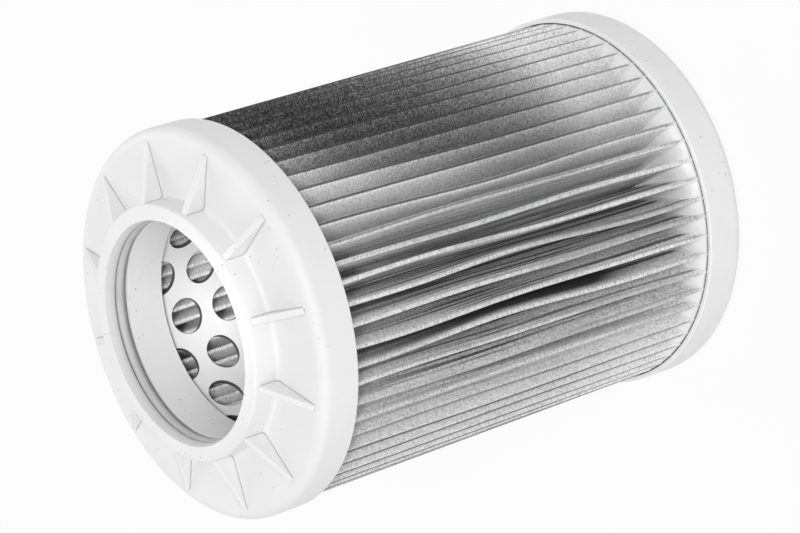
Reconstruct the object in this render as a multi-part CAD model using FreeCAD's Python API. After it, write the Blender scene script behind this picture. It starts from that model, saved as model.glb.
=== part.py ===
import FreeCAD, Part
import math
import os

from FreeCAD import Rotation, Vector

# A pleated hydraulic filter element, standing on its closed end.
# +Z runs along the filter axis, and the origin is the middle of the closed cap's outer face.
# Oil passes inwards through the pleats and the holes of the core tube, and leaves by the collar.
# Lengths are in millimetres and angles in degrees.

# Both end caps
cap_outer_radius = 46.0
cap_skirt_wall = 1.0
cap_corner_radius = 2.6
cap_lip_chamfer = 0.3

# Closed end cap
closed_cap_height = 10.7
closed_end_wall = 2.4
spigot_wall = 1.6
spigot_height = 4.0

# Open end cap
open_skirt_height = 10.0
open_end_wall = 2.4
bore_radius = 26.0
bore_lead_in_depth = 1.4
bore_lead_in_width = 0.4
collar_wall = 4.0
collar_height = 6.4
collar_edge_round = 0.6
collar_root_round = 1.0
neck_wall = 1.3
neck_setback = 0.7
neck_lead_in = 0.3

# Gussets between the collar and the face of the open end cap
gusset_count = 12
gusset_thickness = 1.6
gusset_drop_from_collar = 0.9
gusset_foot_height = 0.3
gusset_foot_inset = 0.2
gusset_root = 0.5

# Seal ring in the bore, and its groove
seal_section = 2.62
seal_stand = 0.2
seal_side_room = 1.0
seal_seat_gap = 0.02
groove_from_top = 2.55

# Pleated media
exposed_media_length = 107.4
pleat_count = 60
pleat_thickness = 0.4
pleat_crease_radius = 0.1
pleat_turn = 1.0
media_to_skirt_gap = 0.2
media_to_core_gap = 0.3
media_to_floor_gap = 2.0

# Core tube
core_wall = 1.0
core_fit_gap = 0.1
hole_radius = 4.25
hole_spacing = 11.86
holes_per_ring = 8
hole_turn = 21.3

# Potting resin, which climbs between the pleats of the closed end as it cures
potting_gap = 0.05
potting_drop = 0.4
potting_climb = 3.8
potting_climb_width = 6.5

# Levels along the axis
closed_lip_z = closed_cap_height
open_lip_z = closed_lip_z + exposed_media_length
face_z = open_lip_z + open_skirt_height
open_floor_z = face_z - open_end_wall
top_z = face_z + collar_height
neck_end_z = open_lip_z + neck_setback
closed_resin_z = closed_lip_z - potting_drop
open_resin_z = open_lip_z + potting_drop
groove_top_z = top_z - groove_from_top
groove_bottom_z = groove_top_z - seal_section - seal_side_room

# Radii that follow from the pieces they fit
skirt_inner_radius = cap_outer_radius - cap_skirt_wall
collar_radius = bore_radius + collar_wall
gusset_outer_radius = cap_outer_radius - cap_corner_radius - gusset_foot_inset
neck_outer_radius = bore_radius + neck_wall
core_inner_radius = neck_outer_radius + core_fit_gap
core_outer_radius = core_inner_radius + core_wall
pleat_root_radius = core_outer_radius + media_to_core_gap
pleat_tip_radius = skirt_inner_radius - media_to_skirt_gap
groove_radius = bore_radius - seal_stand + seal_section + seal_seat_gap
resin_inner_radius = core_outer_radius + potting_gap
resin_outer_radius = skirt_inner_radius - potting_gap

# The rings of holes are half a spacing apart, as each is staggered from the last
ring_step = hole_spacing / 2
ring_count = int(exposed_media_length / ring_step)


def point(radius, height):
    """A point of a turned profile, in the plane of X and Z."""
    return Vector(radius, 0, height)


def corner_arc(centre_radius, centre_height, size, start_deg, end_deg):
    """A quarter-round of a turned profile, as a Part arc and its two end points."""
    angles = (start_deg, (start_deg + end_deg) / 2, end_deg)
    points = []
    for angle in angles:
        turn = math.radians(angle)
        points.append(point(centre_radius + size * math.cos(turn), centre_height + size * math.sin(turn)))
    return Part.Arc(*points).toShape(), points[0], points[-1]


def turned(path):
    """Turn a closed profile about the axis. The path mixes points and ready-made arcs."""
    edges = []
    first = None
    last = None
    for item in path:
        if isinstance(item, tuple):
            arc, start, end = item
        else:
            arc, start, end = None, item, item
        if last is None:
            first = start
        elif last.distanceToPoint(start) > 1e-6:
            edges.append(Part.makeLine(last, start))
        if arc is not None:
            edges.append(arc)
        last = end
    edges.append(Part.makeLine(last, first))
    face = Part.Face(Part.Wire(edges))
    return face.revolve(Vector(0, 0, 0), Vector(0, 0, 1), 360)


def ring(inner_radius, outer_radius, low_z, high_z):
    """A plain ring between two levels."""
    return turned([
        point(inner_radius, low_z),
        point(outer_radius, low_z),
        point(outer_radius, high_z),
        point(inner_radius, high_z),
    ])


def make_gusset():
    """One upright web from the collar's side to the cap's face, at the +X side."""
    half = gusset_thickness / 2
    inner = collar_radius - gusset_root
    corners = [
        Vector(inner, -half, face_z - gusset_root),
        Vector(gusset_outer_radius, -half, face_z - gusset_root),
        Vector(gusset_outer_radius, -half, face_z + gusset_foot_height),
        Vector(inner, -half, top_z - gusset_drop_from_collar),
    ]
    outline = Part.makePolygon(corners + corners[:1])
    return Part.Face(outline).extrude(Vector(0, gusset_thickness, 0))


def make_open_end_cap():
    """The moulded cap with the collar, its gussets, the seal groove and the neck."""
    skirt_corner = corner_arc(cap_outer_radius - cap_corner_radius, face_z - cap_corner_radius,
                              cap_corner_radius, 0, 90)
    collar_root = corner_arc(collar_radius + collar_root_round, face_z + collar_root_round,
                             collar_root_round, 270, 180)
    collar_edge = corner_arc(collar_radius - collar_edge_round, top_z - collar_edge_round,
                             collar_edge_round, 0, 90)
    body = turned([
        point(skirt_inner_radius, open_lip_z),
        point(cap_outer_radius - cap_lip_chamfer, open_lip_z),
        point(cap_outer_radius, open_lip_z + cap_lip_chamfer),
        skirt_corner,
        collar_root,
        collar_edge,
        point(bore_radius + bore_lead_in_width, top_z),
        point(bore_radius, top_z - bore_lead_in_depth),
        point(bore_radius, groove_top_z),
        point(groove_radius, groove_top_z),
        point(groove_radius, groove_bottom_z),
        point(bore_radius, groove_bottom_z),
        point(bore_radius, neck_end_z),
        point(neck_outer_radius - neck_lead_in, neck_end_z),
        point(neck_outer_radius, neck_end_z + neck_lead_in),
        point(neck_outer_radius, open_floor_z),
        point(skirt_inner_radius, open_floor_z),
    ])
    gussets = []
    for index in range(gusset_count):
        gusset = make_gusset()
        gusset.rotate(Vector(0, 0, 0), Vector(0, 0, 1), index * 360 / gusset_count)
        gussets.append(gusset)
    return body.fuse(gussets).removeSplitter()


def make_closed_end_cap():
    """The plain moulded cup that closes the lower end, with a low spigot inside the core tube."""
    skirt_corner = corner_arc(cap_outer_radius - cap_corner_radius, cap_corner_radius,
                              cap_corner_radius, 270, 360)
    spigot_outer = core_inner_radius - core_fit_gap
    spigot_inner = spigot_outer - spigot_wall
    spigot_top = closed_end_wall + spigot_height
    return turned([
        point(0, 0),
        skirt_corner,
        point(cap_outer_radius, closed_lip_z - cap_lip_chamfer),
        point(cap_outer_radius - cap_lip_chamfer, closed_lip_z),
        point(skirt_inner_radius, closed_lip_z),
        point(skirt_inner_radius, closed_end_wall),
        point(spigot_outer, closed_end_wall),
        point(spigot_outer, spigot_top),
        point(spigot_inner, spigot_top),
        point(spigot_inner, closed_end_wall),
        point(0, closed_end_wall),
    ])


def make_bore_seal():
    """The rubber ring, a little proud of the bore so that it can be squeezed."""
    section_radius = seal_section / 2
    centre_radius = bore_radius - seal_stand + section_radius
    centre_z = (groove_top_z + groove_bottom_z) / 2
    seal = Part.makeTorus(centre_radius, section_radius)
    seal.translate(Vector(0, 0, centre_z))
    return seal


def make_core_hole(height, angle):
    """A round cutter for one hole, from inside the core tube's wall to outside it."""
    start = Vector(core_inner_radius - core_wall, 0, height)
    cutter = Part.makeCylinder(hole_radius, 3 * core_wall, start, Vector(1, 0, 0))
    cutter.rotate(Vector(0, 0, 0), Vector(0, 0, 1), angle)
    return cutter


def make_core_tube():
    """The sheet tube with staggered rings of holes, standing on the closed cap's floor."""
    tube = ring(core_inner_radius, core_outer_radius, closed_end_wall, open_floor_z)
    holes = []
    for row in range(ring_count):
        height = open_lip_z - row * ring_step
        stagger = (row % 2) * 180 / holes_per_ring
        for index in range(holes_per_ring):
            angle = hole_turn + stagger + index * 360 / holes_per_ring
            holes.append(make_core_hole(height, angle))
    return tube.cut(holes)


def polar(radius, angle_deg):
    """A point in the plane of X and Y."""
    turn = math.radians(angle_deg)
    return Vector(radius * math.cos(turn), radius * math.sin(turn), 0)


def fold_edges(sheet_side):
    """One pleat's edges on one side of the sheet: round a tip, down a flank, round a root and up again.

    The tip lies at zero degrees and the roots half a pitch to each side. Both folds bend round
    the crease radius, and the flanks are straight and touch both bends. The sheet side is +1 for
    the face towards the outside of the filter and -1 for the face towards the core.
    """
    half_pitch = 180 / pleat_count
    middle = pleat_crease_radius + pleat_thickness / 2
    outer_bend = pleat_crease_radius + pleat_thickness
    tip_bend = middle + sheet_side * pleat_thickness / 2
    root_bend = middle - sheet_side * pleat_thickness / 2
    tip_centre = Vector(pleat_tip_radius - outer_bend, 0, 0)
    root_centre = polar(pleat_root_radius + outer_bend, half_pitch)
    next_pleat = Rotation(Vector(0, 0, 1), 2 * half_pitch)

    # The flank touches the tip's bend on one side and the root's bend on the other
    across = root_centre - tip_centre
    lean = math.asin(2 * middle / across.Length)
    along = Vector(across).normalize()
    square = Vector(along.y, -along.x, 0)
    normal = along * math.sin(lean) + square * math.cos(lean)
    mirrored = Vector(normal.x, -normal.y, 0)

    tip_start = tip_centre + mirrored * tip_bend
    tip_middle = tip_centre + Vector(tip_bend, 0, 0)
    tip_end = tip_centre + normal * tip_bend
    root_start = root_centre - normal * root_bend
    root_middle = root_centre - polar(root_bend, half_pitch)
    root_end = next_pleat.multVec(Vector(root_start.x, -root_start.y, 0))
    next_tip = next_pleat.multVec(tip_start)
    return [
        Part.Arc(tip_start, tip_middle, tip_end).toShape(),
        Part.makeLine(tip_end, root_start),
        Part.Arc(root_start, root_middle, root_end).toShape(),
        Part.makeLine(root_end, next_tip),
    ]


def fold_wire(sheet_side):
    """The whole zigzag ring on one side of the sheet."""
    edges = []
    for index in range(pleat_count):
        for edge in fold_edges(sheet_side):
            edge.rotate(Vector(0, 0, 0), Vector(0, 0, 1), pleat_turn + index * 360 / pleat_count)
            edges.append(edge)
    return Part.Wire(edges)


def make_pleated_media():
    """The folded sheet as one closed ring of pleats, its ends sunk in the potting."""
    face = Part.makeFace([fold_wire(1), fold_wire(-1)], "Part::FaceMakerBullseye")
    low_z = closed_end_wall + media_to_floor_gap
    high_z = open_floor_z - media_to_floor_gap
    media = face.extrude(Vector(0, 0, high_z - low_z))
    media.translate(Vector(0, 0, low_z))
    return media


def make_closed_end_potting(media):
    """The resin round the lower ends of the pleats, its top drawn up towards the core tube."""
    slope_radius = (potting_climb_width ** 2 + potting_climb ** 2) / (2 * potting_climb)
    slope_centre_radius = resin_outer_radius - potting_climb_width
    slope_centre_z = closed_resin_z + potting_climb - slope_radius
    slope_start = math.degrees(math.asin((slope_radius - potting_climb) / slope_radius))
    slope = corner_arc(slope_centre_radius, slope_centre_z, slope_radius, slope_start, 90)
    resin = turned([
        point(resin_inner_radius, closed_end_wall),
        point(resin_outer_radius, closed_end_wall),
        slope,
        point(resin_inner_radius, closed_resin_z + potting_climb),
    ])
    return resin.cut(media)


def make_open_end_potting(media):
    """The resin round the upper ends of the pleats, hidden by the skirt of the open cap."""
    resin = ring(resin_inner_radius, resin_outer_radius, open_resin_z, open_floor_z)
    return resin.cut(media)


def main():
    media = make_pleated_media()
    pieces = {
        "open_end_cap": make_open_end_cap(),
        "closed_end_cap": make_closed_end_cap(),
        "bore_seal": make_bore_seal(),
        "core_tube": make_core_tube(),
        "pleated_media": media,
        "open_end_potting": make_open_end_potting(media),
        "closed_end_potting": make_closed_end_potting(media),
    }
    os.makedirs("parts", exist_ok=True)
    for name, shape in pieces.items():
        print(name, "valid", shape.isValid(), "solids", len(shape.Solids), "volume", round(shape.Volume, 1))
        shape.exportStep(os.path.join("parts", name + ".step"))


main()
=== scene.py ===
import math
import random

import bmesh
import bpy
from mathutils import Matrix, Vector


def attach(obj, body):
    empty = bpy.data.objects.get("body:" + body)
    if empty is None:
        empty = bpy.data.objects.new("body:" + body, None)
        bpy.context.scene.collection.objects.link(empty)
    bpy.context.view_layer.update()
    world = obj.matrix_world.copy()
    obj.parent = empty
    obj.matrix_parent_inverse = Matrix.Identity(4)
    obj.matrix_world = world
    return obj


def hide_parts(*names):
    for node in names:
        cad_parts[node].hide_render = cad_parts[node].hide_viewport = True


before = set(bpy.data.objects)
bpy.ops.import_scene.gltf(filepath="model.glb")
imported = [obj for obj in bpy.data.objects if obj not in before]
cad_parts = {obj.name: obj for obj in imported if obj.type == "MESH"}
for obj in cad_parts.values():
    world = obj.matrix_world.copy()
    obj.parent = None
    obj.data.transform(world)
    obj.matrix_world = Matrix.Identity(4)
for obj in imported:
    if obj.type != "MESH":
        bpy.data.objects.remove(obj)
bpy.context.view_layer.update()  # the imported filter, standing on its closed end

mm = 0.001
tau = 2 * math.pi


def deselectAll():
    bpy.ops.object.select_all(action="DESELECT")


def makeActive(piece):
    deselectAll()
    piece.select_set(True)
    bpy.context.view_layer.objects.active = piece


def startEdit(piece):
    makeActive(piece)
    bpy.ops.object.mode_set(mode="EDIT")
    bpy.ops.mesh.select_mode(type="VERT")


def endEdit():
    bpy.ops.object.mode_set(mode="OBJECT")


def nameIt(name):  # names the new primitive and puts its place into its mesh
    piece = bpy.context.active_object
    piece.name = name
    piece.data.name = name
    bpy.ops.object.transform_apply(location=True, rotation=True, scale=True)
    return piece


def pickVerts(piece, test):  # selects the vertices whose place passes the test
    bpy.ops.mesh.select_all(action="DESELECT")
    mesh = bmesh.from_edit_mesh(piece.data)
    for vert in mesh.verts:
        if test(vert.co):
            vert.select_set(True)
    mesh.select_flush(True)
    bmesh.update_edit_mesh(piece.data)


def pickRings(piece, places):  # selects whole turned edge loops, each given by its radius and height
    near = 0.02 * mm
    bpy.ops.mesh.select_mode(type="EDGE")
    bpy.ops.mesh.select_all(action="DESELECT")
    mesh = bmesh.from_edit_mesh(piece.data)
    for edge in mesh.edges:
        for radius, height in places:
            if all(abs(v.co.xy.length - radius * mm) < near and abs(v.co.z - height * mm) < near
                   for v in edge.verts):
                edge.select_set(True)
    bmesh.update_edit_mesh(piece.data)


def roundRings(piece, places, size, steps):
    pickRings(piece, places)
    bpy.ops.mesh.bevel(offset=size * mm, segments=steps, affect="EDGES", offset_type="OFFSET")


def pullRing(fromPlace, toPlace):  # draws the selected ring on to the next radius and height
    radius, height = fromPlace
    nextRadius, nextHeight = toPlace
    bpy.ops.mesh.extrude_region_move(TRANSFORM_OT_translate={"value": (0, 0, (nextHeight - height) * mm)})
    grow = nextRadius / radius
    bpy.ops.transform.resize(value=(grow, grow, 1), center_override=(0, 0, nextHeight * mm))


def turnRings(name, places, segments, startFill="NOTHING", joinUp=True):
    deselectAll()
    radius, height = places[0]
    bpy.ops.mesh.primitive_circle_add(vertices=segments, radius=radius * mm, fill_type=startFill,
                                      location=(0, 0, height * mm))
    piece = nameIt(name)
    startEdit(piece)
    bpy.ops.mesh.select_all(action="SELECT")
    if startFill != "NOTHING":
        bpy.ops.mesh.select_mode(type="EDGE")
        bpy.ops.mesh.region_to_loop()
    path = places + places[:1] if joinUp else places
    for fromPlace, toPlace in zip(path, path[1:]):
        pullRing(fromPlace, toPlace)
    if not joinUp:
        bpy.ops.mesh.merge(type="CENTER")  # closes the pole
    bpy.ops.mesh.select_mode(type="VERT")
    bpy.ops.mesh.select_all(action="SELECT")
    bpy.ops.mesh.remove_doubles(threshold=0.001 * mm)
    bpy.ops.mesh.normals_make_consistent(inside=False)
    return piece


def applyModifier(piece, kind, **settings):
    makeActive(piece)
    modifier = piece.modifiers.new(kind.lower(), kind)
    for key, value in settings.items():
        setattr(modifier, key, value)
    bpy.ops.object.modifier_apply(modifier=modifier.name)


def cutOrJoin(piece, tool, operation):
    applyModifier(piece, "BOOLEAN", operation=operation, solver="EXACT", object=tool)
    bpy.data.objects.remove(tool)


def smooth(piece, angle):  # edges that turn by more than the angle stay sharp
    makeActive(piece)
    bpy.ops.object.shade_smooth_by_angle(angle=math.radians(angle))


def linear(hexColour):  # sRGB hex to linear, as the sockets want it
    channels = [int(hexColour[i:i + 2], 16) / 255 for i in (1, 3, 5)]
    return [c / 12.92 if c <= 0.04045 else ((c + 0.055) / 1.055) ** 2.4 for c in channels] + [1.0]


def addNode(tree, kind, inputs=None, **settings):
    node = tree.nodes.new("ShaderNode" + kind)
    for key, value in settings.items():
        setattr(node, key, value)
    for key, value in (inputs or {}).items():
        if isinstance(value, bpy.types.NodeSocket):
            tree.links.new(value, node.inputs[key])
        else:
            node.inputs[key].default_value = value
    return node


def newMaterial(name, **values):  # values are the plain ones on the shader's own sockets
    material = bpy.data.materials.new(name)
    material.use_nodes = True
    tree = material.node_tree
    shader = tree.nodes["Principled BSDF"]
    for key, value in values.items():
        shader.inputs[key].default_value = value
    return material, tree, shader


def perMetre(size):  # a texture scale that puts one feature in so many millimetres
    return 1 / (size * mm)


def mixColour(tree, factor, first, second, blend="MIX"):
    node = addNode(tree, "Mix", {0: factor, 6: first, 7: second}, data_type="RGBA", blend_type=blend)
    return node.outputs[2]


def noise(tree, place, size, detail):
    node = addNode(tree, "TexNoise", {"Vector": place, "Scale": perMetre(size), "Detail": detail})
    return node.outputs[0]


def reckon(tree, operation, *values, clamp=False):
    node = addNode(tree, "Math", dict(enumerate(values)), operation=operation, use_clamp=clamp)
    return node.outputs[0]


def reckonVector(tree, operation, values, output="Vector"):  # values by the number of their socket
    return addNode(tree, "VectorMath", values, operation=operation).outputs[output]


def ramp(tree, value, low, high, start=0.0, end=1.0, kind="LINEAR"):  # from start at low to end at high
    node = addNode(tree, "MapRange", {0: value, 1: low, 2: high, 3: start, 4: end}, interpolation_type=kind)
    return node.outputs[0]


def grey(tree, value):
    return addNode(tree, "CombineColor", {0: value, 1: value, 2: value}).outputs[0]


def fromAxis(tree, place):  # the arrow that leads to a place straight out from the filter's axis
    return reckonVector(tree, "MULTIPLY", {0: place, 1: (1, 1, 0)})


def around(tree, angle, middle, inner, outer, kind="LINEAR"):  # 1 within inner degrees of middle, 0 past outer
    apart = reckon(tree, "ADD", angle, -math.radians(middle))
    apart = reckon(tree, "ABSOLUTE", apart)
    return ramp(tree, apart, math.radians(inner), math.radians(outer), 1.0, 0.0, kind)


def addBump(tree, shader, height, strength, depth):
    bump = addNode(tree, "Bump", {"Height": height, "Strength": strength, "Distance": depth * mm})
    tree.links.new(bump.outputs[0], shader.inputs["Normal"])


# Glass-filled nylon, injection moulded: a pale matt skin with a fine grain, a few dark specks and painted shade in
# its inner corners
nylon = {
    "roughness": 0.52,
    "ior": 1.53,
    "colour": "#E9E9E9",
    "shade": "#E1E1E1",
    "patch": 9.0,  # mm, like every size below
    "grain": 0.35,
    "grainStrength": 0.35,
    "grainDepth": 0.03,
    "speck": "#3A3A3A",
    "speckSpacing": 2.3,
    "speckRadius": 0.18,
    "speckCore": 0.6,  # the share of the radius that is fully dark
    "cluster": 28.0,
    "clusterFrom": 0.44,  # the noise where specks begin to show, and where all of them do
    "clusterTo": 0.52,
    "corner": "#8C8C8C",  # painted shade in the inner corners
    "cornerShadeReach": 0.6,
    "cornerShadeFrom": 0.35,  # how open the place is where the painted shade is full, and where it ends
    "cornerShadeTo": 0.8,
}


def makeNylon():
    n = nylon
    material, tree, shader = newMaterial("mouldedNylon", Roughness=n["roughness"], IOR=n["ior"])
    place = addNode(tree, "TexCoord").outputs["Object"]
    patches = noise(tree, place, n["patch"], detail=3.0)
    colour = mixColour(tree, patches, linear(n["shade"]), linear(n["colour"]))
    cells = addNode(tree, "TexVoronoi", {"Vector": place, "Scale": perMetre(n["speckSpacing"])})
    dotSize = n["speckRadius"] / n["speckSpacing"]
    dots = ramp(tree, cells.outputs["Distance"], dotSize * n["speckCore"], dotSize, 1.0, 0.0)
    crowded = ramp(tree, noise(tree, place, n["cluster"], detail=1.0), n["clusterFrom"], n["clusterTo"])
    dots = reckon(tree, "MULTIPLY", dots, crowded)
    colour = mixColour(tree, dots, colour, linear(n["speck"]))
    # painted shade: the inner corners, found by ambient occlusion, are painted darker
    openness = addNode(tree, "AmbientOcclusion", {"Distance": n["cornerShadeReach"] * mm}, samples=8).outputs["AO"]
    paintedShade = ramp(tree, openness, n["cornerShadeFrom"], n["cornerShadeTo"], 1.0, 0.0)
    colour = mixColour(tree, paintedShade, colour, linear(n["corner"]))
    tree.links.new(colour, shader.inputs["Base Color"])
    grain = noise(tree, place, n["grain"], detail=2.0)
    addBump(tree, shader, grain, n["grainStrength"], n["grainDepth"])
    return material


# Nitrile rubber, compression moulded: mid grey, soft sheen, slight dust
rubber = {
    "roughness": 0.5,
    "ior": 1.52,
    "colour": "#B0B0B0",
    "dust": "#CFCFCF",
    "patch": 4.0,  # mm
    "grain": 0.5,
    "grainStrength": 0.3,
    "grainDepth": 0.02,
}


def makeRubber():
    r = rubber
    material, tree, shader = newMaterial("nitrileRubber", Roughness=r["roughness"], IOR=r["ior"])
    place = addNode(tree, "TexCoord").outputs["Object"]
    dusty = noise(tree, place, r["patch"], detail=4.0)
    colour = mixColour(tree, dusty, linear(r["colour"]), linear(r["dust"]))
    tree.links.new(colour, shader.inputs["Base Color"])
    grain = noise(tree, place, r["grain"], detail=2.0)
    addBump(tree, shader, grain, r["grainStrength"], r["grainDepth"])
    return material


# Tinned steel sheet, punched and rolled: pale, with a soft metallic sheen and faint rolling lines
sheet = {
    "roughness": 0.42,
    "metallic": 0.1,
    "colour": "#FAFAFA",
    "dull": "#F5F5F5",
    "patch": 6.0,  # mm
    "line": 0.4,
    "lineSquash": 0.05,  # draws the lines out along the tube
    "lineStrength": 0.25,
    "lineDepth": 0.02,
    "cut": "#4C4C4C",  # the punched edges
    "cutFrom": 0.5,  # cosine between the surface and the tube's wall
    "cutTo": 0.8,
}


def makeSheet():
    s = sheet
    material, tree, shader = newMaterial("tinnedSheet", Roughness=s["roughness"], Metallic=s["metallic"])
    place = addNode(tree, "TexCoord").outputs["Object"]
    patches = noise(tree, place, s["patch"], detail=3.0)
    colour = mixColour(tree, patches, linear(s["dull"]), linear(s["colour"]))
    outwards = reckonVector(tree, "NORMALIZE", {0: fromAxis(tree, place)})
    facing = addNode(tree, "TexCoord").outputs["Normal"]
    square = reckonVector(tree, "DOT_PRODUCT", {0: outwards, 1: facing}, "Value")
    edge = ramp(tree, reckon(tree, "ABSOLUTE", square), s["cutFrom"], s["cutTo"], 1.0, 0.0)
    colour = mixColour(tree, edge, colour, linear(s["cut"]))
    tree.links.new(colour, shader.inputs["Base Color"])
    drawnOut = addNode(tree, "Mapping", {"Vector": place, "Scale": (1, 1, s["lineSquash"])}).outputs[0]
    lines = noise(tree, drawnOut, s["line"], detail=3.0)
    addBump(tree, shader, lines, s["lineStrength"], s["lineDepth"])
    return material


pleats = {
    "count": 60,
    "tip": 44.8,
    "root": 28.7,
    "sheet": 0.4,
    "crease": 0.1,
    "turn": 1.0,
    "low": 4.4,
    "high": 123.7,
    "rows": 26,
    "bendSteps": 3,  # steps in half a bend
    "flankSteps": 3,
    "twist": 3.0,  # degrees gained from the closed end to the open end
    "lean": 0.45,  # mm at the tips
    "wildLean": 1.8,  # mm, where the pleats were pressed about
    "wildMiddle": 262.0,  # degrees round the filter
    "wildSpread": 24.0,
    "bow": 0.3,
    "seed": 11,
}

# Stainless steel wire cloth, woven and pleated: fine grey grain of painted glints with painted shade between the
# wires, and painted shade on the side that stood uppermost, growing towards the open end
cloth = {
    "roughness": 0.55,
    "metallic": 0.2,
    "wire": "#FDFDFD",
    "worn": "#F9F9F9",
    "patch": 5.0,  # mm
    "gapShade": "#CECECE",
    "gapShadeShare": 0.62,
    "spacing": 0.27,  # mm between wires, coarser than the real cloth so that it shows
    "strand": 0.38,  # mm of a wire that glints as one
    "weaveStrength": 0.5,
    "weaveDepth": 0.08,  # mm
}

crests = {  # a thin dark line is painted along each fold's crest
    "colour": "#232323",
    "share": 0.9,
    "inner": 0.14,  # mm to each side of a fold's crest
    "outer": 0.30,
    "spared": 0.85,  # the share that is missing where the pleats were pressed about
    "low": 8.0,  # mm up the filter, below which the crest's dark line is fainter
    "high": 50.0,
    "least": 0.65,
}

heightShade = {  # painted shade begins above the closed end and grows further up
    "colour": "#F2F2F2",
    "low": 18.0,  # mm up the filter
    "high": 58.0,
    "lessShadeFrom": 86.0,  # mm up the filter, from where the side that stood uppermost loses its painted shade
    "lessShadeTo": 112.0,
    "lessShadeLeast": 0.4,  # the share of the painted shade that the side that stood uppermost lacks lower down
    "sideFrom": -0.4,  # cosine of the angle from the side that stood uppermost
    "sideTo": 0.1,
}

sideShade = {  # and painted shade grows towards the open end on the side that stood uppermost
    "deepest": 0.06,  # what is left of the brightness where the painted shade is full
    "from": -0.032,  # the same cosine, at the filter's foot
    "to": 0.431,
    "slant": 5.3,  # how much the cosine has to grow for each metre up the filter
    "low": 32.0,  # mm up the filter
    "high": 101.0,
    "dull": 1.45,  # how much of the painted shade a crossing with little painted glint takes, and one with much
    "bright": 0.6,
}

streaks = {  # painted shade in streaks along the pleats, down from the crests into the valleys, strongest where they were pressed about
    "size": 1.7,  # mm
    "squash": 0.02,  # draws them out along the pleats
    "noiseFrom": 0.43,
    "noiseTo": 0.53,
    "tone": 0.14,
    "dull": 0.78,  # the painted glint shows through a streak
    "bright": 1.22,
    "from": 0.7,  # mm down a pleat from its crest
    "to": 2.8,
    "least": 0.42,  # what shows of a streak on the crest itself
    "middle": -104.0,  # degrees round the filter
    "inner": 17.0,
    "outer": 37.0,
    "calmFrom": 84.0,  # mm up the filter, above which the streaks grow faint
    "calmTo": 114.0,
    "calmest": 0.45,
}

valley = {  # one valley stood open, and its depths are painted near black as shade
    "tone": 0.10,
    "middle": -108.6,  # degrees round the filter
    "inner": 2.4,
    "outer": 3.2,
    "low": 12.0,  # mm up the filter
    "high": 40.0,
}

soak = {  # resin has soaked the foot of each pleat, higher in the valleys than at the crests
    "colour": "#F2F2F2",
    "share": 0.85,
    "height": 11.6,  # mm, at the crests
    "climb": 5.0,
    "reach": 6.5,  # mm in from the crests, where the climb ends
    "below": -0.2,  # mm, where the edge begins to fade, and where it ends
    "above": 1.6,
}


def weaveRelief(tree, along, height):  # the wires go over and under each other by turns
    turns = math.pi * perMetre(cloth["spacing"])
    warp = reckon(tree, "SINE", reckon(tree, "MULTIPLY", along, turns))
    weft = reckon(tree, "SINE", reckon(tree, "MULTIPLY", height, turns))
    over = reckon(tree, "MULTIPLY", warp, weft)
    overHalf = reckon(tree, "MULTIPLY_ADD", over, 0.5, 0.5)
    underHalf = reckon(tree, "MULTIPLY_ADD", over, -0.5, 0.5)
    warpTop = reckon(tree, "MULTIPLY", reckon(tree, "ABSOLUTE", warp), overHalf)
    weftTop = reckon(tree, "MULTIPLY", reckon(tree, "ABSOLUTE", weft), underHalf)
    return reckon(tree, "MAXIMUM", warpTop, weftTop)


def paintedWireGlint(tree, grid):  # painted glint: each crossing of two wires is painted brighter or duller by its own amount
    cell = (cloth["strand"] * mm, cloth["spacing"] * mm, mm)
    steps = reckonVector(tree, "SNAP", {0: grid, 1: cell})
    steps = reckonVector(tree, "SCALE", {0: steps, 3: 1 / mm})
    return addNode(tree, "TexWhiteNoise", {"Vector": steps}, noise_dimensions="2D").outputs["Value"]


def crestShare(tree, crest, band, height):
    c = crests
    # a thin dark line is painted along each crest
    crestLine = ramp(tree, crest, c["inner"] * mm, c["outer"] * mm, c["share"], 0.0)
    pressed = reckon(tree, "MULTIPLY_ADD", band, -c["spared"], 1.0)
    crestLine = reckon(tree, "MULTIPLY", crestLine, pressed)
    faded = ramp(tree, height, c["low"] * mm, c["high"] * mm, c["least"], 1.0)
    return reckon(tree, "MULTIPLY", crestLine, faded)


def heightShadeTone(tree, cosine, height):
    s = heightShade
    # painted shade: darker above the closed end, less on the side that stood uppermost
    heightShaded = ramp(tree, height, s["low"] * mm, s["high"] * mm, kind="SMOOTHSTEP")
    side = ramp(tree, cosine, s["sideFrom"], s["sideTo"], kind="SMOOTHSTEP")
    lessShaded = ramp(tree, height, s["lessShadeFrom"] * mm, s["lessShadeTo"] * mm, s["lessShadeLeast"], 1.0, "SMOOTHSTEP")
    lessShaded = reckon(tree, "MULTIPLY", lessShaded, side)
    heightShaded = reckon(tree, "MULTIPLY", heightShaded, reckon(tree, "SUBTRACT", 1.0, lessShaded))
    return mixColour(tree, heightShaded, (1, 1, 1, 1), linear(s["colour"]))


def sideShadeTone(tree, cosine, height, paintedGlint):
    s = sideShade
    # painted shade: the side that stood uppermost is painted darker towards the open end
    slanted = reckon(tree, "MULTIPLY_ADD", height, -s["slant"], cosine)
    aside = ramp(tree, slanted, s["from"], s["to"], kind="SMOOTHSTEP")
    raised = ramp(tree, height, s["low"] * mm, s["high"] * mm)
    sideShaded = reckon(tree, "MULTIPLY", aside, raised)
    crossingShare = ramp(tree, paintedGlint, 0.0, 1.0, s["dull"], s["bright"])
    sideShaded = reckon(tree, "MULTIPLY", sideShaded, crossingShare)
    return grey(tree, reckon(tree, "POWER", s["deepest"], sideShaded))


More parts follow.
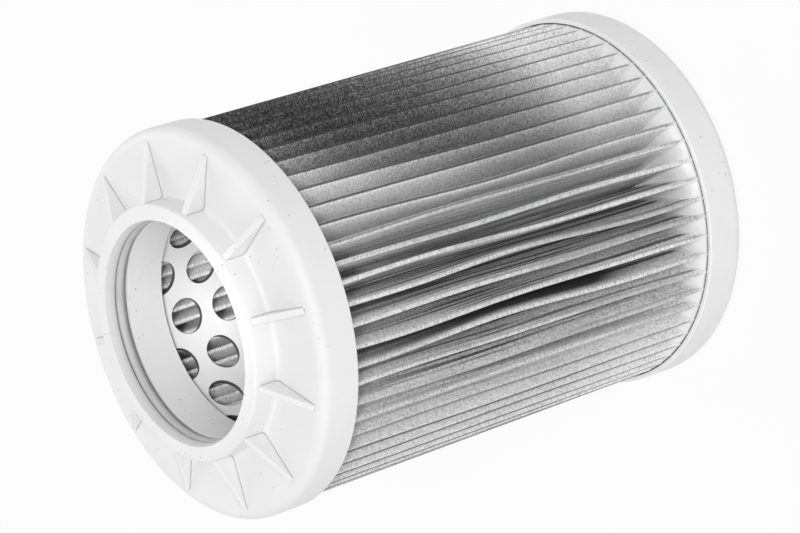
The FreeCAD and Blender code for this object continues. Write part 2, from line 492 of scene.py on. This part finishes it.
def streakShadeTone(tree, grid, paintedGlint, band, crest, angle, height):
    s = streaks
    drawnOut = addNode(tree, "Mapping", {"Vector": grid, "Scale": (1, s["squash"], 1)}).outputs[0]
    streaky = ramp(tree, noise(tree, drawnOut, s["size"], detail=2.0), s["noiseFrom"], s["noiseTo"], s["tone"], 1.0)
    grained = ramp(tree, paintedGlint, 0.0, 1.0, s["dull"], s["bright"])
    streaky = reckon(tree, "MULTIPLY", streaky, grained, clamp=True)
    # painted shade: a streak darkens a pleat more the further down from its crest it lies
    deeper = ramp(tree, crest, s["from"] * mm, s["to"] * mm)
    calm = ramp(tree, height, s["calmFrom"] * mm, s["calmTo"] * mm, 1.0, s["calmest"])
    streaked = reckon(tree, "MULTIPLY", band, ramp(tree, deeper, 0.0, 1.0, s["least"], 1.0))
    streaked = reckon(tree, "MULTIPLY", streaked, calm)
    tone = mixColour(tree, streaked, (1, 1, 1, 1), grey(tree, streaky))
    v = valley
    # painted shade: the open valley is painted near black below the crests
    valleyShade = around(tree, angle, v["middle"], v["inner"], v["outer"])
    begun = ramp(tree, height, v["low"] * mm, v["high"] * mm)
    for share in (begun, deeper, calm):
        valleyShade = reckon(tree, "MULTIPLY", valleyShade, share)
    return mixColour(tree, valleyShade, tone, (v["tone"],) * 3 + (1,))


def soakShare(tree, radius, height):
    s = soak
    tip = pleats["tip"]
    edge = ramp(tree, radius, tip * mm, (tip - s["reach"]) * mm, s["height"] * mm, (s["height"] + s["climb"]) * mm)
    above = reckon(tree, "SUBTRACT", height, edge)
    return ramp(tree, above, s["below"] * mm, s["above"] * mm, s["share"], 0.0)


def makeCloth():
    c = cloth
    material, tree, shader = newMaterial("wireCloth", Roughness=c["roughness"], Metallic=c["metallic"])
    place = addNode(tree, "TexCoord").outputs["Object"]
    parts = addNode(tree, "SeparateXYZ", {0: place})
    height = parts.outputs["Z"]
    radius = reckonVector(tree, "LENGTH", {0: fromAxis(tree, place)}, "Value")
    cosine = reckon(tree, "DIVIDE", parts.outputs["X"], radius)
    angle = reckon(tree, "ARCTAN2", parts.outputs["Y"], parts.outputs["X"])
    along = addNode(tree, "Attribute", attribute_name="run").outputs["Fac"]  # metres along the folded sheet
    crest = addNode(tree, "Attribute", attribute_name="crest").outputs["Fac"]  # metres from the nearest crest
    grid = addNode(tree, "CombineXYZ", {0: along, 1: height}).outputs[0]
    paintedGlint = paintedWireGlint(tree, grid)
    band = around(tree, angle, streaks["middle"], streaks["inner"], streaks["outer"], "SMOOTHSTEP")

    colour = mixColour(tree, noise(tree, place, c["patch"], detail=3.0), linear(c["worn"]), linear(c["wire"]))
    # crossings with little painted glint take the gap colour: painted shade between the wires
    colour = mixColour(tree, ramp(tree, paintedGlint, 0.0, c["gapShadeShare"], 1.0, 0.0), colour, linear(c["gapShade"]))
    colour = mixColour(tree, crestShare(tree, crest, band, height), colour, linear(crests["colour"]))
    tones = [
        heightShadeTone(tree, cosine, height),
        sideShadeTone(tree, cosine, height, paintedGlint),
        streakShadeTone(tree, grid, paintedGlint, band, crest, angle, height),
    ]
    for tone in tones:
        colour = mixColour(tree, 1.0, colour, tone, "MULTIPLY")
    colour = mixColour(tree, soakShare(tree, radius, height), colour, linear(soak["colour"]))
    tree.links.new(colour, shader.inputs["Base Color"])
    addBump(tree, shader, weaveRelief(tree, along, height), c["weaveStrength"], c["weaveDepth"])
    return material


# Polyurethane resin, poured and cured: off-white, slightly glossy, with a soft uneven skin
resin = {
    "roughness": 0.34,
    "ior": 1.5,
    "colour": "#E3E3E3",
    "thin": "#D8D8D8",
    "wave": 3.0,  # mm
    "waveStrength": 0.4,
    "waveDepth": 0.2,
    "rim": "#555555",  # painted shade: a thin dark ring where the resin meets the skirt
    "rimFrom": 44.5,
    "rimTo": 44.8,
}


def makeResin():
    r = resin
    material, tree, shader = newMaterial("pottingResin", Roughness=r["roughness"], IOR=r["ior"])
    place = addNode(tree, "TexCoord").outputs["Object"]
    waves = noise(tree, place, r["wave"], detail=3.0)
    colour = mixColour(tree, waves, linear(r["thin"]), linear(r["colour"]))
    radius = reckonVector(tree, "LENGTH", {0: fromAxis(tree, place)}, "Value")
    # painted shade: a thin dark ring at the skirt
    rim = ramp(tree, radius, r["rimFrom"] * mm, r["rimTo"] * mm)
    colour = mixColour(tree, rim, colour, linear(r["rim"]))
    tree.links.new(colour, shader.inputs["Base Color"])
    addBump(tree, shader, waves, r["waveStrength"], r["waveDepth"])
    return material


finishes = {
    "moulded_nylon": makeNylon(),
    "seal_rubber": makeRubber(),
    "core_sheet": makeSheet(),
    "mesh_media": makeCloth(),
    "potting_resin": makeResin(),
}
print("materials made")


def fitOut(piece, node, slotName):  # the piece takes the CAD node's place and its finish
    piece.data.materials.clear()
    piece.data.materials.append(finishes[slotName])
    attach(piece, "root")
    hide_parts(node)
    print(piece.name, "faces", len(piece.data.polygons))


caps = {
    "segments": 192,
    "radius": 46.0,
    "inside": 45.0,
    "corner": 2.6,
    "cornerSteps": 7,
    "lip": 0.3,
    "wall": 2.4,
}

openCap = {
    "lip": 118.1,
    "face": 128.1,
    "top": 134.5,
    "bore": 26.0,
    "leadIn": 0.4,
    "leadInDepth": 1.4,
    "collar": 30.0,
    "collarEdge": 0.6,
    "collarRoot": 1.0,
    "collarSteps": 4,
    "groove": 28.44,
    "grooveTop": 131.95,
    "grooveLow": 128.33,
    "grooveEdge": 0.15,
    "neck": 27.3,
    "neckEnd": 118.8,
    "neckEdge": 0.3,
}

gussets = {
    "count": 12,
    "thickness": 1.6,
    "inner": 29.5,
    "outer": 43.2,
    "root": 0.5,
    "drop": 0.9,  # below the collar's top
    "foot": 0.3,  # above the face
    "edge": 0.22,
}


def makeGussets():  # one web is shaped from a cube, then copied round the collar
    deselectAll()
    length = gussets["outer"] - gussets["inner"]
    low = openCap["face"] - gussets["root"]
    high = openCap["top"] - gussets["drop"]
    middle = Vector(((gussets["outer"] + gussets["inner"]) / 2, 0, (low + high) / 2)) * mm
    bpy.ops.mesh.primitive_cube_add(size=1, location=middle)
    webs = nameIt("webs")
    startEdit(webs)
    bpy.ops.mesh.select_all(action="SELECT")
    bpy.ops.transform.resize(value=(length * mm, gussets["thickness"] * mm, (high - low) * mm),
                             center_override=middle)
    pickVerts(webs, lambda p: p.x > middle.x and p.z > middle.z)
    fall = high - openCap["face"] - gussets["foot"]
    bpy.ops.transform.translate(value=(0, 0, -fall * mm))
    pickVerts(webs, lambda p: p.z > low * mm + 0.01 * mm)
    bpy.ops.mesh.select_mode(type="EDGE")
    bpy.ops.mesh.bevel(offset=gussets["edge"] * mm, segments=2, affect="EDGES")
    bpy.ops.mesh.select_all(action="SELECT")
    for _ in range(gussets["count"] - 1):
        bpy.ops.mesh.duplicate()
        bpy.ops.transform.rotate(value=tau / gussets["count"], orient_axis="Z", center_override=(0, 0, 0))
    bpy.ops.mesh.select_all(action="SELECT")
    bpy.ops.mesh.normals_make_consistent(inside=False)
    endEdit()
    return webs


def makeOpenCap():
    c = openCap
    places = [
        (caps["inside"], c["lip"]),
        (caps["radius"] - caps["lip"], c["lip"]),
        (caps["radius"], c["lip"] + caps["lip"]),
        (caps["radius"], c["face"]),
        (c["collar"], c["face"]),
        (c["collar"], c["top"]),
        (c["bore"] + c["leadIn"], c["top"]),
        (c["bore"], c["top"] - c["leadInDepth"]),
        (c["bore"], c["grooveTop"]),
        (c["groove"], c["grooveTop"]),
        (c["groove"], c["grooveLow"]),
        (c["bore"], c["grooveLow"]),
        (c["bore"], c["neckEnd"]),
        (c["neck"] - c["neckEdge"], c["neckEnd"]),
        (c["neck"], c["neckEnd"] + c["neckEdge"]),
        (c["neck"], c["face"] - caps["wall"]),
        (caps["inside"], c["face"] - caps["wall"]),
    ]
    cap = turnRings("openEndCap", places, caps["segments"])
    roundRings(cap, [(caps["radius"], c["face"])], caps["corner"], caps["cornerSteps"])
    roundRings(cap, [(c["collar"], c["face"])], c["collarRoot"], c["collarSteps"])
    roundRings(cap, [(c["collar"], c["top"])], c["collarEdge"], c["collarSteps"])
    roundRings(cap, [(c["bore"], c["grooveTop"]), (c["bore"], c["grooveLow"])], c["grooveEdge"], steps=2)
    endEdit()
    cutOrJoin(cap, makeGussets(), "UNION")
    smooth(cap, angle=28)
    fitOut(cap, "open_end_cap", "moulded_nylon")


closedCap = {
    "height": 10.7,
    "spigotOut": 27.3,
    "spigotIn": 25.7,
    "spigotTop": 6.4,
    "spigotEdge": 0.25,
    "gateRadius": 2.8,  # the dimple round the gate, in the middle of the end face
    "gateSlope": 0.5,
    "gateDepth": 0.35,
    "scarRadius": 1.0,
    "scarDepth": 0.21,
    "pole": 0.5,  # radius of the last ring before the middle
}


def makeClosedCap():
    c = closedCap
    places = [
        (c["scarRadius"], c["scarDepth"]),
        (c["gateRadius"] - c["gateSlope"], c["gateDepth"]),
        (c["gateRadius"], 0.0),
        (caps["radius"], 0.0),
        (caps["radius"], c["height"] - caps["lip"]),
        (caps["radius"] - caps["lip"], c["height"]),
        (caps["inside"], c["height"]),
        (caps["inside"], caps["wall"]),
        (c["spigotOut"], caps["wall"]),
        (c["spigotOut"], c["spigotTop"]),
        (c["spigotIn"], c["spigotTop"]),
        (c["spigotIn"], caps["wall"]),
        (c["pole"], caps["wall"]),
    ]
    cap = turnRings("closedEndCap", places, caps["segments"], startFill="NGON", joinUp=False)
    roundRings(cap, [(caps["radius"], 0.0)], caps["corner"], caps["cornerSteps"])
    spigotEdges = [(c["spigotOut"], c["spigotTop"]), (c["spigotIn"], c["spigotTop"])]
    roundRings(cap, spigotEdges, c["spigotEdge"], steps=2)
    endEdit()
    smooth(cap, angle=28)
    fitOut(cap, "closed_end_cap", "moulded_nylon")


core = {
    "inner": 27.4,
    "outer": 28.4,
    "low": 2.4,
    "high": 125.7,
    "segments": 180,
    "holeRadius": 4.25,
    "holeRows": 18,
    "holesPerRow": 8,
    "holeStep": 5.93,
    "holeTurn": 21.3,
    "holeSides": 28,
    "punch": 4.0,  # length of a punch
}


def makePunches():  # one punch stands out from the axis, and its copies climb round the tube
    deselectAll()
    middle = (core["inner"] + core["outer"]) / 2
    bpy.ops.mesh.primitive_cylinder_add(vertices=core["holeSides"], radius=core["holeRadius"] * mm,
                                        depth=core["punch"] * mm, location=(middle * mm, 0, 0),
                                        rotation=(0, math.pi / 2, 0))
    punch = nameIt("punches")
    stamp = punch.data.copy()
    mesh = bmesh.new()
    for row in range(core["holeRows"]):  # the first row is level with the open cap's lip
        height = openCap["lip"] - row * core["holeStep"]
        for index in range(core["holesPerRow"]):
            turn = core["holeTurn"] + (index + (row % 2) / 2) * 360 / core["holesPerRow"]
            move = Matrix.Translation((0, 0, height * mm)) @ Matrix.Rotation(math.radians(turn), 4, "Z")
            copy = stamp.copy()
            copy.transform(move)
            mesh.from_mesh(copy)
            bpy.data.meshes.remove(copy)
    mesh.to_mesh(punch.data)
    mesh.free()
    bpy.data.meshes.remove(stamp)
    return punch


def makeCore():
    places = [
        (core["inner"], core["low"]),
        (core["outer"], core["low"]),
        (core["outer"], core["high"]),
        (core["inner"], core["high"]),
    ]
    tube = turnRings("coreTube", places, core["segments"])
    endEdit()
    cutOrJoin(tube, makePunches(), "DIFFERENCE")
    smooth(tube, angle=30)
    fitOut(tube, "core_tube", "core_sheet")


seal = {
    "segments": 160,
    "sides": 28,
    "section": 1.31,
    "centre": 27.11,
    "height": 130.14,
    "flash": 0.03,  # the mould's parting line
    "flashWidth": 0.05,  # to each side of the line
}


def makeSeal():
    s = seal
    middle = s["height"] * mm
    deselectAll()
    bpy.ops.mesh.primitive_torus_add(major_segments=s["segments"], minor_segments=s["sides"],
                                     major_radius=s["centre"] * mm, minor_radius=s["section"] * mm,
                                     location=(0, 0, middle))
    ring = nameIt("boreSeal")
    startEdit(ring)
    for way in (-1, 1):  # the line runs round the inside and the outside
        radius = s["centre"] + way * s["section"]
        pickRings(ring, [(radius, s["height"])])
        bpy.ops.mesh.bevel(offset=s["flashWidth"] * mm, segments=2, affect="EDGES", profile=0.5)
        grow = (radius + way * s["flash"]) / radius
        pickVerts(ring, lambda p: (abs(p.z - middle) < 0.004 * mm
                                   and abs(p.xy.length - radius * mm) < 0.1 * mm))
        bpy.ops.transform.resize(value=(grow, grow, 1), center_override=(0, 0, middle))
    endEdit()
    smooth(ring, angle=60)
    fitOut(ring, "bore_seal", "seal_rubber")


def pleatPoints():  # the middle of the sheet, from the bottom of one valley over a tip to the next valley
    half = math.pi / pleats["count"]
    bend = pleats["crease"] + pleats["sheet"] / 2
    outerBend = pleats["crease"] + pleats["sheet"]
    tip = Vector((pleats["tip"] - outerBend, 0))
    rootRadius = pleats["root"] + outerBend
    root = Vector((rootRadius * math.cos(half), rootRadius * math.sin(half)))
    across = root - tip
    lean = math.asin(2 * bend / across.length)
    flat = across.normalized()
    normal = flat * math.sin(lean) + Vector((flat.y, -flat.x)) * math.cos(lean)
    if normal.y < 0:
        normal = flat * math.sin(lean) - Vector((flat.y, -flat.x)) * math.cos(lean)
    endTurn = math.atan2(normal.y, normal.x)
    steps = pleats["bendSteps"]
    side = [tip + bend * Vector((math.cos(endTurn * i / steps), math.sin(endTurn * i / steps)))
            for i in range(steps + 1)]
    back = math.atan2(-normal.y, -normal.x) % tau
    bottom = math.pi + half
    rootSide = [root + bend * Vector((math.cos(back + (bottom - back) * i / steps),
                                      math.sin(back + (bottom - back) * i / steps))) for i in range(steps + 1)]
    flank = [side[-1].lerp(rootSide[0], i / pleats["flankSteps"]) for i in range(1, pleats["flankSteps"])]
    upper = side + flank + rootSide
    lower = [Vector((p.x, -p.y)) for p in reversed(upper[1:])]
    return lower + upper


def wander(chance, waves, drift=0.4, ease=0.6):  # a smooth random line that starts and ends at rest
    terms = [(chance.uniform(-1, 1) / wave, wave, chance.uniform(-drift, drift)) for wave in waves]
    return lambda share: max(math.sin(math.pi * share), 0) ** ease * sum(
        size * math.sin(math.pi * wave * share + shift * math.pi) for size, wave, shift in terms)


def measureSheet(media):  # each fold line learns where it lies along the sheet, and its distance from a crest
    mesh = bmesh.from_edit_mesh(media.data)
    run = mesh.verts.layers.float.new("run")
    mesh.verts.ensure_lookup_table()
    vert = mesh.verts[0]
    before = None
    length = 0.0
    for _ in range(len(mesh.verts)):
        vert[run] = length
        ahead = [edge.other_vert(vert) for edge in vert.link_edges]
        step = ahead[0] if ahead[0] is not before else ahead[1]
        length += (step.co - vert.co).length
        before, vert = vert, step
    crest = mesh.verts.layers.float.new("crest")
    pleatLength = length / pleats["count"]
    for vert in mesh.verts:
        vert[crest] = abs(vert[run] % pleatLength - pleatLength / 2)
    bmesh.update_edit_mesh(media.data)


def pressPleats(media):  # the pleats twist a little from end to end, and each leans and bows by itself
    p = pleats
    chance = random.Random(p["seed"])
    leans = [wander(chance, (1, 2, 3)) for _ in range(p["count"])]
    bows = [wander(chance, (1, 2, 3)) for _ in range(p["count"])]
    pitch = 360 / p["count"]
    for vert in media.data.vertices:
        co = vert.co
        radius = co.xy.length
        angle = math.degrees(math.atan2(co.y, co.x)) % 360
        share = (co.z / mm - p["low"]) / (p["high"] - p["low"])
        depth = (radius / mm - p["root"]) / (p["tip"] - p["root"])  # 0 in the valleys, 1 at the tips
        index = int(((angle - p["turn"]) / pitch + 0.5) % p["count"])
        apart = (angle - p["wildMiddle"] + 180) % 360 - 180
        wild = math.exp(-(apart / p["wildSpread"]) ** 2)
        size = p["lean"] + (p["wildLean"] - p["lean"]) * wild
        side = size * leans[index](share) * depth
        side += p["bow"] * bows[index](share) * math.sin(math.pi * min(max(depth, 0), 1))
        newAngle = math.radians(angle + p["twist"] * share) + side * mm / radius
        vert.co = (radius * math.cos(newAngle), radius * math.sin(newAngle), co.z)


def makeMedia():
    p = pleats
    points = [Vector((q.x, q.y, p["low"])) * mm for q in pleatPoints()]
    turn = Matrix.Rotation(math.radians(p["turn"]), 3, "Z")
    points = [turn @ q for q in points]
    deselectAll()
    bpy.ops.mesh.primitive_plane_add(size=1 * mm, location=points[0])
    media = nameIt("pleatedMedia")
    startEdit(media)
    bpy.ops.mesh.select_all(action="SELECT")
    bpy.ops.mesh.merge(type="CENTER")
    for last, following in zip(points, points[1:]):
        bpy.ops.mesh.extrude_region_move(TRANSFORM_OT_translate={"value": following - last})
    bpy.ops.mesh.select_all(action="SELECT")
    for _ in range(p["count"] - 1):
        bpy.ops.mesh.duplicate()
        bpy.ops.transform.rotate(value=tau / p["count"], orient_axis="Z", center_override=(0, 0, 0))
    bpy.ops.mesh.select_all(action="SELECT")
    bpy.ops.mesh.remove_doubles(threshold=0.01 * mm)
    measureSheet(media)
    rise = (p["high"] - p["low"]) / p["rows"] * mm
    bpy.ops.mesh.select_all(action="SELECT")
    for _ in range(p["rows"]):
        bpy.ops.mesh.extrude_region_move(TRANSFORM_OT_translate={"value": (0, 0, rise)})
    bpy.ops.mesh.select_all(action="SELECT")
    bpy.ops.mesh.normals_make_consistent(inside=False)
    endEdit()
    print("pleats folded")
    pressPleats(media)
    applyModifier(media, "SOLIDIFY", thickness=p["sheet"] * mm, offset=0, use_even_offset=False)
    smooth(media, angle=50)
    fitOut(media, "pleated_media", "mesh_media")


potting = {
    "inner": 28.45,
    "outer": 44.95,
    "closedLow": 2.4,
    "closedTop": 10.3,
    "openLow": 118.5,
    "openTop": 125.7,
    "openEdge": 0.4,
    "openEdgeHeight": 0.3,
    "climb": 3.8,  # mm that the resin rises between the pleats
    "climbWidth": 6.5,
    "climbSteps": 7,
    "segments": 360,
    "unevenness": 0.5,
    "level": 0.1,  # mm above the rim, up to where the resin stays even
    "seed": 5,
}


def makeClosedPotting():
    p = potting
    top = p["closedTop"]
    climb = p["climb"]
    reach = (p["climbWidth"] ** 2 + climb ** 2) / (2 * climb)  # the slope's radius
    first = math.asin((reach - climb) / reach)
    turns = [first + (math.pi / 2 - first) * i / p["climbSteps"] for i in range(p["climbSteps"] + 1)]
    slope = [(p["outer"] - p["climbWidth"] + reach * math.cos(t), top + climb - reach + reach * math.sin(t))
             for t in turns]
    places = [(p["inner"], p["closedLow"]), (p["outer"], p["closedLow"])] + slope + [(p["inner"], top + climb)]
    piece = turnRings("closedEndPotting", places, p["segments"])
    endEdit()
    chance = random.Random(p["seed"])
    pours = [wander(chance, (1, 2)) for _ in range(3)]
    heights = [chance.uniform(-1, 1) for _ in range(pleats["count"])]
    for vert in piece.data.vertices:
        if vert.co.z > (top + p["level"]) * mm:
            angle = math.degrees(math.atan2(vert.co.y, vert.co.x)) % 360
            place = angle / 360 * pleats["count"]
            index = int(place)
            blend = place - index
            rise = heights[index] * (1 - blend) + heights[(index + 1) % pleats["count"]] * blend
            rise += pours[0](angle / 360)
            vert.co.z += rise * p["unevenness"] * (vert.co.z / mm - top) / climb * mm
    smooth(piece, angle=40)
    fitOut(piece, "closed_end_potting", "potting_resin")


def makeOpenPotting():
    p = potting
    places = [
        (p["inner"], p["openLow"]),
        (p["outer"] - p["openEdge"], p["openLow"]),
        (p["outer"], p["openLow"] + p["openEdgeHeight"]),
        (p["outer"], p["openTop"]),
        (p["inner"], p["openTop"]),
    ]
    piece = turnRings("openEndPotting", places, caps["segments"])
    endEdit()
    smooth(piece, angle=40)
    fitOut(piece, "open_end_potting", "potting_resin")


makeOpenCap()
makeClosedCap()
makeCore()
makeSeal()
makeMedia()
makeClosedPotting()
makeOpenPotting()
print("filter modelled")


floor = {
    "size": 3.0,  # metres
    "colour": "#E0E0E0",
    "glow": 0.9,  # the share of plain white that keeps the ground as pale as the photograph's
}


def seenDirectly(tree):  # 1 for what the camera sees, also by reflection or through glass
    rays = addNode(tree, "LightPath").outputs
    seen = reckon(tree, "MAXIMUM", rays["Is Camera Ray"], rays["Is Glossy Ray"])
    return reckon(tree, "MAXIMUM", seen, rays["Is Transmission Ray"])


def makeFloor():
    deselectAll()
    bpy.ops.mesh.primitive_plane_add(size=floor["size"], location=(0, 0, 0))
    ground = nameIt("ground")
    material = bpy.data.materials.new("whitePaper")
    material.use_nodes = True
    tree = material.node_tree
    tree.nodes.clear()
    paper = addNode(tree, "BsdfDiffuse", {"Color": linear(floor["colour"])})
    white = addNode(tree, "Emission", {"Color": (1, 1, 1, 1), "Strength": 1.0})
    share = reckon(tree, "MULTIPLY", seenDirectly(tree), floor["glow"])
    mix = addNode(tree, "MixShader", {0: share, 1: paper.outputs[0], 2: white.outputs[0]})
    output = tree.nodes.new("ShaderNodeOutputMaterial")
    tree.links.new(mix.outputs[0], output.inputs["Surface"])
    ground.data.materials.append(material)


light = {
    "world": 0.62,
    "sky": "#FFFFFF",
}

suns = {  # direction towards the light, strength, angle across in degrees
    "keyLight": ((-0.80, -0.48, 0.36), 0.5, 25),
    "frontLight": ((0.10, -0.67, 0.74), 1.34, 12),
    "backLight": ((0.35, 0.85, 0.40), 0.6, 30),
}


def makeLights():
    world = bpy.data.worlds.new("studio")
    bpy.context.scene.world = world
    world.use_nodes = True
    tree = world.node_tree
    tree.nodes.clear()
    sky = addNode(tree, "Background", {"Color": linear(light["sky"]), "Strength": light["world"]})
    white = addNode(tree, "Background", {"Color": (1, 1, 1, 1), "Strength": 1.0})
    mix = addNode(tree, "MixShader", {0: seenDirectly(tree), 1: sky.outputs[0], 2: white.outputs[0]})
    output = tree.nodes.new("ShaderNodeOutputWorld")
    tree.links.new(mix.outputs[0], output.inputs["Surface"])
    for name, (towards, strength, spread) in suns.items():
        deselectAll()
        bpy.ops.object.light_add(type="SUN", location=Vector(towards))
        lamp = bpy.context.active_object
        lamp.name = name
        lamp.data.energy = strength
        lamp.data.angle = math.radians(spread)
        lamp.rotation_euler = Vector(towards).to_track_quat("Z", "Y").to_euler()


boreLight = {
    "aim": (0, 27, 105),  # mm, as are the distance and the radius
    "towards": (0.05, -0.76, 0.65),
    "distance": 420,
    "power": 6.6,
    "cone": 3.3,  # degrees across
    "stretch": 1.75,  # wider than high, as the bore's mouth looks from there
    "blend": 0.6,
    "radius": 12,
}


def makeBoreLight():  # a small spot that looks down the bore, so that the core tube reads as pale as it is
    deselectAll()
    b = boreLight
    towards = Vector(b["towards"]).normalized()
    bpy.ops.object.light_add(type="SPOT", location=(Vector(b["aim"]) + towards * b["distance"]) * mm)
    lamp = bpy.context.active_object
    lamp.name = "boreLight"
    lamp.data.energy = b["power"]
    lamp.data.spot_size = math.radians(b["cone"])
    lamp.data.spot_blend = b["blend"]
    lamp.data.shadow_soft_size = b["radius"] * mm
    lamp.rotation_euler = towards.to_track_quat("Z", "Y").to_euler()
    lamp.scale = (b["stretch"], 1, 1)


view = {
    "place": (60.3157, -654.3419, 548.8148),  # mm
    "aim": (-1.389, 0.553, 68.183),
    "roll": -108.05,  # degrees: the photograph shows the filter lying down
    "lens": 155.2,
    "sensor": 36,
    "nearest": 10,
}


def makeCamera():
    deselectAll()
    bpy.ops.object.camera_add(location=Vector(view["place"]) * mm)
    camera = bpy.context.active_object
    camera.name = "photographView"
    look = (Vector(view["aim"]) - Vector(view["place"])).to_track_quat("-Z", "Y")
    camera.rotation_euler = (look.to_matrix() @ Matrix.Rotation(math.radians(view["roll"]), 3, "Z")).to_euler()
    camera.data.lens = view["lens"]
    camera.data.sensor_width = view["sensor"]
    camera.data.clip_start = view["nearest"] * mm
    bpy.context.scene.camera = camera


makeFloor()
makeLights()
makeBoreLight()
makeCamera()
bpy.context.scene.view_settings.view_transform = "Standard"
print("studio set")
